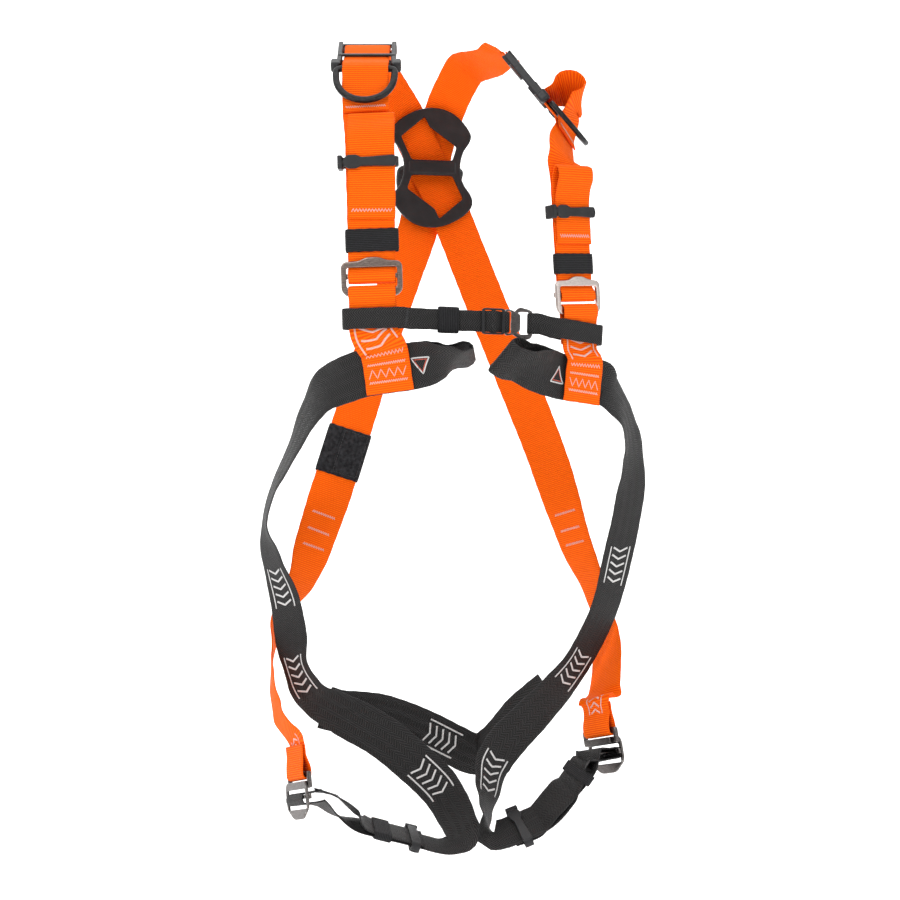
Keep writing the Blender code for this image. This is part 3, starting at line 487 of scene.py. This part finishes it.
def web_profile(width, thick, s):
    """Section of webbing: x across and y outwards, with round, slightly wavy selvedges."""
    wave = math.sin(s * 410.0) * 0.6 + math.sin(s * 173.0 + 1.3) * 0.4
    half = width / 2 - 0.15 * MM + EDGE_WAVE * wave
    top = []
    for k in range(COLUMNS):
        share = -math.cos(math.pi * k / (COLUMNS - 1))
        share = math.copysign(abs(share) ** 0.8, share)
        swell = EDGE_SHARE + (1 - EDGE_SHARE) * (1 - abs(share) ** 14)
        top.append((half * share, thick / 2 * swell))
    return top + [(x, -y) for x, y in reversed(top)]


def woven(run, name, look):
    """Closed webbing mesh along a run, with across and along coordinates in metres."""
    mesh = bmesh.new()
    layer = mesh.loops.layers.uv.new("run")
    count = max(2, math.ceil(run.length / RING_STEP))
    stops = [run.length * k / count for k in range(count + 1)]
    rings, places = [], []
    for s in stops:
        here, side, out, _ = run.at(s)
        profile = web_profile(run.width, run.thick, s)
        rings.append([mesh.verts.new(here + side * x + out * y) for x, y in profile])
        places.append([(x, s) for x, _ in profile])
    size = len(rings[0])
    for i in range(count):
        for k in range(size):
            n = (k + 1) % size
            face = mesh.faces.new((rings[i][k], rings[i][n], rings[i + 1][n], rings[i + 1][k]))
            spots = (places[i][k], places[i][n], places[i + 1][n], places[i + 1][k])
            for loop, spot in zip(face.loops, spots):
                loop[layer].uv = spot
    for ring, place in ((rings[0], places[0]), (rings[-1], places[-1])):
        face = mesh.faces.new(ring)
        for loop, spot in zip(face.loops, place):
            loop[layer].uv = spot
    bmesh.ops.recalc_face_normals(mesh, faces=mesh.faces)
    return new_object(name, mesh, look)


def cord(mesh, points, outs, radius, flat=0.6, sides=6):
    """Adds a closed cord through points; outs are the directions away from the cloth."""
    rings = []
    for i, here in enumerate(points):
        along = points[min(i + 1, len(points) - 1)] - points[max(i - 1, 0)]
        along = along / max(np.linalg.norm(along), 1e-9)
        across = np.cross(along, outs[i])
        across /= max(np.linalg.norm(across), 1e-9)
        ring = []
        for k in range(sides):
            a = 2 * math.pi * k / sides
            ring.append(here + across * radius * math.cos(a) + outs[i] * radius * flat * math.sin(a))
        rings.append([mesh.verts.new(p) for p in ring])
    for a, b in zip(rings, rings[1:]):
        for k in range(sides):
            mesh.faces.new((a[k], a[(k + 1) % sides], b[(k + 1) % sides], b[k]))
    mesh.faces.new(rings[0][::-1])
    mesh.faces.new(rings[-1])


def stitch(mesh, run, face, corners, radius=THREAD_R, lift=THREAD_LIFT, flat=0.6):
    """A thread on a strap's face through corners given as (distance along, across)."""
    points, outs = [], []
    for (s0, x0), (s1, x1) in zip(corners, corners[1:]):
        parts = max(1, math.ceil(math.hypot(s1 - s0, x1 - x0) / (2.2 * MM)))
        for k in range(parts):
            t = k / parts
            points.append(run.outer(s0 + (s1 - s0) * t, x0 + (x1 - x0) * t, face, lift))
            outs.append(run.at(s0 + (s1 - s0) * t)[2] * face)
    points.append(run.outer(*corners[-1], face, lift))
    outs.append(run.at(corners[-1][0])[2] * face)
    cord(mesh, points, outs, radius, flat)


def zigzag(mesh, run, face, middle, tall, pitch, left, right):
    """A row of zigzag stitches across the webbing."""
    count = max(2, round((right - left) / pitch))
    corners = []
    for k in range(count + 1):
        half = tall / 2 if k % 2 else -tall / 2
        corners.append((middle + half, left + (right - left) * k / count))
    stitch(mesh, run, face, corners)


def bar_tack(mesh, run, face, middle, left=-17 * MM, right=17 * MM):
    zigzag(mesh, run, face, middle, 2.6 * MM, 1.1 * MM, left, right)


def woven_mark(mesh, run, face, middle, long=30 * MM, wide=26 * MM):
    """A plain woven sign: nested chevrons between two rails."""
    rail = wide / 2
    for x in (-rail, rail):
        stitch(mesh, run, face, [(middle - long / 2, x), (middle + long / 2, x)], 0.9 * MM, 0.0, 0.25)
    count = max(3, round(long / (9 * MM)))
    for k in range(count):
        s = middle - long / 2 + long * (k + 0.15) / count
        reach = rail - 3.6 * MM
        stitch(mesh, run, face, [(s, -reach), (s + 4.5 * MM, 0), (s, reach)], 1.1 * MM, 0.0, 0.22)


def sewing(name, look, body="harness"):
    """Starts a mesh for stitches and returns it with the call that ends it."""
    mesh = bmesh.new()

    def end():
        bmesh.ops.recalc_face_normals(mesh, faces=mesh.faces)
        made = new_object(name, mesh, look)
        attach(made, body)
        return made

    return mesh, end


# ---------------------------------------------------------------- straps
def webbing(node, near, look, body="harness"):
    run = Run(node, Vector(near))
    made = woven(run, node + "_webbing", look)
    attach(made, body)
    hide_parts(node)
    return run


FRONT = Vector((-0.1, -1.0, -0.3))
RUNS = {}
for side, buckle in (("right", "leg_frame_left"), ("left", "leg_frame_right")):
    RUNS["main_" + side] = webbing("main_strap_" + side, centre(buckle), ORANGE)
    adjuster = centre("adjuster_" + side)
    RUNS["front_" + side] = webbing("front_strap_" + side, adjuster, ORANGE)
    top = centre("ring_carrier_" + side) + Vector((0, 0, 0.05))
    RUNS["loop_" + side] = webbing("shoulder_loop_" + side, top, ORANGE)
    seam = centre("front_strap_" + side)
    RUNS["hip_" + side] = webbing("hip_strap_" + side, seam, BLACK)
for key, node, near, body in (("seat", "seat_strap", "leg_frame_right", "harness"),
                              ("chest_loop", "chest_loop_right", "chest_keeper", "harness"),
                              ("chest_right", "chest_strap_right", "chest_loop_right", "chest_gate"),
                              ("chest_left", "chest_strap_left", "adjuster_left", "harness")):
    RUNS[key] = webbing(node, centre(near), BLACK, body)


def front_sewing(side):
    """Zigzags and bar tacks that join the lower front strap to the hip strap, and its woven mark."""
    run = RUNS["front_" + side]
    end = run.length
    face = run.facing(end - 20 * MM, FRONT)
    mesh, close = sewing("front_strap_" + side + "_sewing", PALE_THREAD)
    for back, tall, pitch in SEAM_ROWS:
        zigzag(mesh, run, face, end - back * MM, tall * MM, pitch * MM, -18 * MM, 18 * MM)
    loop_end = run.nearest(centre("adjuster_" + side) - Vector((0, 0, LOOP_END_DROP)), 0.35, 1.0)
    bar_tack(mesh, run, face, loop_end + 4 * MM)
    woven_mark(mesh, run, face, end - 55 * MM, 22 * MM, 34 * MM)
    close()


def tail_sewing(side):
    """Stitches on the main strap's folded tail."""
    run = RUNS["main_" + side]
    face = run.facing(run.length - 15 * MM, FRONT)
    mesh, close = sewing("main_strap_" + side + "_tail_sewing", PALE_THREAD)
    zigzag(mesh, run, face, run.length - 8 * MM, 3.0 * MM, 1.5 * MM, -19 * MM, 19 * MM)
    close()


def hip_tacks(side):
    """Rows of tacks where the main strap's end is sewn back above its leg buckle."""
    run = RUNS["main_" + side]
    buckle = "leg_frame_left" if side == "right" else "leg_frame_right"
    mesh, close = sewing("main_strap_" + side + "_tacks", PALE_THREAD)
    for drop in HIP_TACK_DROPS:
        s = arc_at_height(run, centre("label_cover")[2] - drop, 0.02, 0.4)
        for face in (1, -1):
            bar_tack(mesh, run, face, s, -13 * MM, 13 * MM)
    s = run.nearest(centre(buckle) + Vector((0, 0, 0.035)), 0.02, 0.3)
    woven_mark(mesh, run, run.facing(s, FRONT), s, 20 * MM, 22 * MM)
    close()


def shoulder_sewing(side):
    """A bar tack near the far end of the shoulder loop layer."""
    run = RUNS["loop_" + side]
    mesh, close = sewing("shoulder_loop_" + side + "_sewing", PALE_THREAD)
    s = run.length - 6 * MM
    bar_tack(mesh, run, run.facing(s, FRONT), s, -19 * MM, 19 * MM)
    close()


def arc_at_height(run, height, low, high):
    tries = np.linspace(low * run.length, high * run.length, 500)
    gaps = [abs(run.smooth(run.line, s)[2] - height) for s in tries]
    return float(tries[int(np.argmin(gaps))])


def seat_mark():
    """White woven sign on the seat webbing behind the crotch."""
    run = RUNS["seat"]
    mesh, close = sewing("seat_strap_mark", WHITE_THREAD)
    s = run.nearest(SEAT_MARK)
    woven_mark(mesh, run, run.facing(s, FRONT), s, SIGN_LONG, SIGN_WIDE)
    close()


def loop_signs():
    """Plain triangles on the chest loops, pale thread edged with red."""
    for side, s in LOOP_SIGN_AT.items():
        run = RUNS["hip_" + side]
        face = run.facing(s, FRONT)
        for look, size, radius in ((WHITE_THREAD, 9 * MM, 0.7 * MM), (RED_THREAD, 6.6 * MM, 0.5 * MM)):
            mesh, close = sewing("hip_strap_" + side + "_sign_" + look.name, look)
            corners = [(s - size, -0.8 * size), (s + size, -0.8 * size), (s, size), (s - size, -0.8 * size)]
            stitch(mesh, run, face, corners, radius, 0.0, 0.3)
            close()


def hip_marks(side, places):
    """White woven signs down the hip and thigh webbing."""
    run = RUNS["hip_" + side]
    mesh, close = sewing("hip_strap_" + side + "_marks", WHITE_THREAD)
    for height, low, high in places:
        s = arc_at_height(run, height, low, high)
        woven_mark(mesh, run, run.facing(s, FRONT), s, SIGN_LONG, SIGN_WIDE)
    close()


for side in ("right", "left"):
    front_sewing(side)
    tail_sewing(side)
    hip_tacks(side)
    shoulder_sewing(side)
for side in ("right", "left"):
    hip_marks(side, HIP_MARKS[side])


def chest_sewing():
    """Black tacks on the chest strap's loops and tail."""
    for key, body, shares in (("chest_loop", "harness", (0.06, 0.94)),
                              ("chest_left", "harness", (0.05, 0.95)),
                              ("chest_right", "chest_gate", (0.95,))):
        run = RUNS[key]
        mesh, close = sewing(run.name + "_sewing", BLACK_THREAD, body)
        for share in shares:
            s = run.length * share
            for face in (1, -1):
                bar_tack(mesh, run, face, s, -8 * MM, 8 * MM)
        close()


def chest_flex():
    """A short straight length of webbing, lapping both ends a little, that fills the gap where the chest
    strap's free half turns away from the chest loop.
    """
    loop, strap = RUNS["chest_loop"], RUNS["chest_right"]
    ends = [loop.smooth(loop.line, s) for s in (0.0, loop.length)]
    begin = min(ends, key=lambda end: np.linalg.norm(end - strap.line[0]))
    along = strap.line[0] - begin
    gap = np.linalg.norm(along)
    along = along / gap
    side = strap.side[0]
    out = np.cross(along, side)
    out /= np.linalg.norm(out)
    mesh = bmesh.new()
    layer = mesh.loops.layers.uv.new("run")
    profile = web_profile(strap.width + FLEX_SPARE, strap.thick + FLEX_SPARE, 0.0)
    rings = []
    for d in np.linspace(-FLEX_LAP, gap + FLEX_LAP, FLEX_ROWS):
        rings.append([mesh.verts.new(begin + along * d + side * x + out * y) for x, y in profile])
    for a, b in zip(rings, rings[1:]):
        for k in range(len(a)):
            n = (k + 1) % len(a)
            mesh.faces.new((a[k], a[n], b[n], b[k]))
    mesh.faces.new(rings[0][::-1])
    mesh.faces.new(rings[-1])
    for face in mesh.faces:
        for corner in face.loops:
            reach = corner.vert.co - Vector(begin)
            corner[layer].uv = (reach.dot(Vector(side)), reach.dot(Vector(along)))
    bmesh.ops.recalc_face_normals(mesh, faces=mesh.faces)
    made = new_object("chest_strap_right_flex", mesh, BLACK)
    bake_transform(made)


chest_sewing()
chest_flex()
seat_mark()
loop_signs()


# ---------------------------------------------------------------- sleeves and the label cover
def own_axes(node):
    """Middle, three own directions from the longest spread to the shortest, and half sizes along them."""
    mesh = welded(node)
    points = np.array([v.co for v in mesh.verts])
    mesh.free()
    _, vectors = np.linalg.eigh(np.cov((points - points.mean(0)).T))
    vectors = vectors[:, ::-1].T
    spread = (points - points.mean(0)) @ vectors.T
    low, high = spread.min(0), spread.max(0)
    middle = points.mean(0) + ((low + high) / 2) @ vectors
    return middle, vectors, (high - low) / 2


def band_path(half_w, half_t, count=96):
    """Flat loop with round ends: points and directions outwards, evenly spaced."""
    straight = 2 * (half_w - half_t)
    turn = math.pi * half_t
    total = 2 * straight + 2 * turn
    out = []
    for k in range(count):
        d = total * k / count
        if d < straight:
            out.append((d - straight / 2, -half_t, 0, -1))
        elif d < straight + turn:
            a = (d - straight) / half_t - math.pi / 2
            x, y = math.cos(a), math.sin(a)
            out.append((straight / 2 + half_t * x, half_t * y, x, y))
        elif d < 2 * straight + turn:
            out.append((straight / 2 - (d - straight - turn), half_t, 0, 1))
        else:
            a = (d - 2 * straight - turn) / half_t + math.pi / 2
            x, y = math.cos(a), math.sin(a)
            out.append((-straight / 2 + half_t * x, half_t * y, x, y))
    return out, total


def band(node, hole, wall, look, body, wave=0.15 * MM, rows=12):
    """Sleeve round webbing layers with rounded rims and a slightly wavy height."""
    middle, vectors, half = own_axes(node)
    order = [k for k in range(3) if k != hole]
    side, out, up = vectors[order[0]], vectors[order[1]], vectors[hole]
    path, total = band_path(half[order[0]], half[order[1]])
    mesh = bmesh.new()
    layer = mesh.loops.layers.uv.new("run")
    rings, places = [], []
    for i, (x, y, nx, ny) in enumerate(path):
        along = total * i / len(path)
        tall = half[hole] - wave + wave * math.sin(along * 620.0)
        ring, place = [], []
        for k in range(rows):
            z = -tall + 2 * tall * k / (rows - 1)
            dip = 0.35 * wall * (abs(z) / tall) ** 10
            ring.append((x - nx * dip, y - ny * dip, z))
            place.append((z, along))
        for k in range(rows):
            z = tall - 2 * tall * k / (rows - 1)
            dip = wall - 0.35 * wall * (abs(z) / tall) ** 10
            ring.append((x - nx * dip, y - ny * dip, z))
            place.append((z, along))
        rings.append([mesh.verts.new(middle + side * a + out * b + up * c) for a, b, c in ring])
        places.append(place)
    size = 2 * rows
    for i in range(len(rings)):
        j = (i + 1) % len(rings)
        for k in range(size):
            n = (k + 1) % size
            face = mesh.faces.new((rings[i][k], rings[i][n], rings[j][n], rings[j][k]))
            lap = total if j == 0 else 0.0
            spots = [places[i][k], places[i][n], (places[j][n][0], places[j][n][1] + lap),
                     (places[j][k][0], places[j][k][1] + lap)]
            for loop, spot in zip(face.loops, spots):
                loop[layer].uv = spot
    bmesh.ops.recalc_face_normals(mesh, faces=mesh.faces)
    made = new_object(node + "_band", mesh, look)
    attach(made, body)
    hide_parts(node)
    return middle, vectors, half


for node in ("shoulder_elastic_right", "shoulder_elastic_left", "leg_elastic_right", "leg_elastic_left"):
    band(node, 1, 1.2 * MM, ELASTIC, node + "_body")
band("chest_keeper", 1, 1.3 * MM, ELASTIC, "chest_keeper_body")
band("label_cover", 0, 1.1 * MM, CLOTH, "harness", 0.25 * MM, 24)


def flap():
    """Cloth flap with a rounded border, slightly crowned, and a stitched rim."""
    middle, vectors, half = own_axes("label_flap")
    up, side, out = vectors
    mesh = bmesh.new()
    layer = mesh.loops.layers.uv.new("run")
    columns, rows = 22, 34
    grids = []
    for face in (1, -1):
        grid = []
        for i in range(rows):
            line = []
            for k in range(columns):
                a, b = 2 * i / (rows - 1) - 1, 2 * k / (columns - 1) - 1
                rim = (1 - max(abs(a), abs(b)) ** 10) * 0.75 + 0.25
                corner = 1 - 0.03 * (a * a * b * b)
                place = middle + up * a * half[0] * corner + side * b * half[1] * corner
                line.append(mesh.verts.new(place + out * face * half[2] * rim))
            grid.append(line)
        grids.append(grid)
    for grid in grids:
        for i in range(rows - 1):
            for k in range(columns - 1):
                upper, lower = grid[i], grid[i + 1]
                made = mesh.faces.new((upper[k], upper[k + 1], lower[k + 1], lower[k]))
                for loop in made.loops:
                    loop[layer].uv = (loop.vert.co.x, loop.vert.co.z)
    border = [(i, 0) for i in range(rows)] + [(rows - 1, k) for k in range(1, columns)]
    border += [(i, columns - 1) for i in range(rows - 2, -1, -1)]
    border += [(0, k) for k in range(columns - 2, 0, -1)]
    for (i, k), (m, n) in zip(border, border[1:] + border[:1]):
        mesh.faces.new((grids[0][i][k], grids[0][m][n], grids[1][m][n], grids[1][i][k]))
    bmesh.ops.recalc_face_normals(mesh, faces=mesh.faces)
    made = new_object("label_flap_cloth", mesh, CLOTH)
    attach(made, "label_flap_body")
    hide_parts("label_flap")
    flap_rim(middle, up, side, out, half)


def flap_rim(middle, up, side, out, half):
    """Short running stitches round the flap, on both faces."""
    mesh = bmesh.new()
    inset_a, inset_b = half[0] - 2.6 * MM, half[1] - 2.6 * MM
    corners = [(-inset_a, -inset_b), (inset_a, -inset_b), (inset_a, inset_b), (-inset_a, inset_b)]
    for face in (1, -1):
        for (a0, b0), (a1, b1) in zip(corners, corners[1:] + corners[:1]):
            count = round(math.hypot(a1 - a0, b1 - b0) / (3.2 * MM))
            for k in range(count):
                ends = []
                for t in ((k + 0.15) / count, (k + 0.85) / count):
                    a, b = a0 + (a1 - a0) * t, b0 + (b1 - b0) * t
                    ends.append(middle + up * a + side * b + out * face * (half[2] + 0.05 * MM))
                cord(mesh, [ends[0], (ends[0] + ends[1]) / 2, ends[1]], [out * face] * 3, 0.3 * MM)
    bmesh.ops.recalc_face_normals(mesh, faces=mesh.faces)
    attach(new_object("label_flap_stitches", mesh, BLACK_THREAD), "label_flap_body")


flap()


# ---------------------------------------------------------------- hardware
def final_mesh(source, name):
    """The mesh an object has after its modifiers."""
    bpy.context.view_layer.update()
    seen = source.evaluated_get(bpy.context.evaluated_depsgraph_get())
    data = bpy.data.meshes.new_from_object(seen)
    data.name = name
    return data


def refined(node, look, body, voxel=VOXEL, keep=0.5):
    """The part again with softly rounded edges, as moulding, forging or tumbling leaves them."""
    mesh = welded(node)
    draft = new_object(node + "_draft", mesh, look)
    shell = draft.modifiers.new("shell", "REMESH")
    shell.mode = "VOXEL"
    shell.voxel_size = voxel
    ease = draft.modifiers.new("ease", "SMOOTH")
    ease.factor = 0.5
    ease.iterations = SMOOTH_TURNS
    fewer = draft.modifiers.new("fewer", "DECIMATE")
    fewer.ratio = keep
    return swapped(node, draft, look, body)


def swapped(node, draft, look, body):
    """Replaces a CAD node by the final mesh of a draft."""
    data = final_mesh(draft, node + "_part")
    bpy.data.objects.remove(draft, do_unlink=True)
    data.materials.clear()
    data.materials.append(look)
    for face in data.polygons:
        face.use_smooth = True
    made = bpy.data.objects.new(node + "_part", data)
    bpy.context.scene.collection.objects.link(made)
    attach(made, body)
    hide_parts(node)
    return made


def forged_ring(node, body):
    """The D-ring again as a smooth bent bar."""
    mesh = welded(node)
    bmesh.ops.join_triangles(mesh, faces=mesh.faces, angle_face_threshold=0.9, angle_shape_threshold=3.2)
    draft = new_object(node + "_draft", mesh, FORGED)
    round_off = draft.modifiers.new("round", "SUBSURF")
    round_off.levels = 2
    round_off.render_levels = 2
    swapped(node, draft, FORGED, body)


def body_of(node):
    return next(b for b, nodes in frame["record"]["behaviour"]["bodies"].items() if node in nodes)


for node in ("dorsal_ring", "shoulder_ring_right", "shoulder_ring_left"):
    forged_ring(node, body_of(node))
for node in ("dorsal_plate", "ring_carrier_right", "ring_carrier_left", "shoulder_keeper_right",
             "shoulder_keeper_left", "leg_keeper_right", "leg_keeper_left", "chest_glide"):
    refined(node, PLASTIC, body_of(node))
# Right adjuster and bar take the painted-shade copy of the steel, the left ones the painted-light copy.
STEELS = {"adjuster_right": STEEL_SHADED_COPY, "adjuster_left": STEEL_LIT_COPY,
          "adjuster_bar_right": STEEL_SHADED_COPY, "adjuster_bar_left": STEEL_LIT_COPY}
for node in ("adjuster_right", "adjuster_left", "adjuster_bar_right", "adjuster_bar_left",
             "leg_frame_right", "leg_frame_left", "leg_plate_right", "leg_plate_left",
             "leg_bar_right", "leg_bar_left", "chest_hook", "chest_ring"):
    refined(node, STEELS.get(node, STEEL), body_of(node), STEEL_VOXEL)


# ---------------------------------------------------------------- stage, light and camera
def plain(name, colour, roughness, glow):
    look = Look(name)
    look.shader.inputs["Base Color"].default_value = (*colour, 1.0)
    look.shader.inputs["Roughness"].default_value = roughness
    look.shader.inputs["Emission Color"].default_value = (*colour, 1.0)
    look.shader.inputs["Emission Strength"].default_value = glow
    return look.made


def floor():
    """Pale sweep: a floor below the harness that curves up behind it."""
    low = min(corner[2] for corner in CAD_BOX) - FLOOR_DROP
    line = [(SWEEP_FRONT, low), (SWEEP_BEND, low)]
    for k in range(1, 13):
        a = math.pi / 2 * k / 12
        line.append((SWEEP_BEND + math.sin(a), low + 1.0 - math.cos(a)))
    line.append((SWEEP_BEND + 1.0, low + SWEEP_TALL))
    mesh = bmesh.new()
    rows = [[mesh.verts.new((x, y, z)) for x in (-SWEEP_HALF, SWEEP_HALF)] for y, z in line]
    for a, b in zip(rows, rows[1:]):
        mesh.faces.new((a[0], a[1], b[1], b[0]))
    made = new_object("floor_sweep", mesh, plain("floor_look", (0.93, 0.93, 0.93), 0.9, 0.4))


def lamp(name, place, aim, size, power):
    data = bpy.data.lights.new(name, "AREA")
    data.shape = "RECTANGLE"
    data.size, data.size_y = size
    data.energy = power
    made = bpy.data.objects.new(name, data)
    made.location = place
    made.rotation_euler = (Vector(aim) - Vector(place)).to_track_quat("-Z", "Y").to_euler()
    bpy.context.scene.collection.objects.link(made)


def sky_gradient(tree):
    """White where it is seen; as light, dimmer below than above, so that metal shows soft contrasts."""
    place = tree.nodes.new("ShaderNodeTexCoord")
    split = tree.nodes.new("ShaderNodeSeparateXYZ")
    rise = tree.nodes.new("ShaderNodeMapRange")
    rise.inputs["From Min"].default_value = -0.35
    rise.inputs["From Max"].default_value = 0.9
    rise.inputs["To Min"].default_value = SKY_LOW
    rise.inputs["To Max"].default_value = SKY_HIGH
    tree.links.new(place.outputs["Generated"], split.inputs[0])
    tree.links.new(split.outputs["Z"], rise.inputs["Value"])
    seen = tree.nodes.new("ShaderNodeLightPath")
    brighter = tree.nodes.new("ShaderNodeMath")
    brighter.operation = "MAXIMUM"
    tree.links.new(rise.outputs["Result"], brighter.inputs[0])
    tree.links.new(seen.outputs["Is Camera Ray"], brighter.inputs[1])
    tree.links.new(brighter.outputs[0], tree.nodes["Background"].inputs["Strength"])


def studio():
    world = bpy.data.worlds.new("studio")
    world.use_nodes = True
    world.node_tree.nodes["Background"].inputs["Color"].default_value = (1.0, 1.0, 1.0, 1.0)
    sky_gradient(world.node_tree)
    bpy.context.scene.world = world
    for name, place, aim, size, power in LAMPS:
        lamp(name, place, aim, size, power)
    bpy.context.scene.view_settings.view_transform = "Standard"


def camera():
    data = bpy.data.cameras.new("camera")
    data.lens = CAMERA_LENS
    data.clip_start = 0.01
    made = bpy.data.objects.new("camera", data)
    made.location = CAMERA_AT
    made.rotation_euler = (math.radians(90), 0, math.radians(CAMERA_TURN))
    bpy.context.scene.collection.objects.link(made)
    bpy.context.scene.camera = made


floor()
studio()
camera()
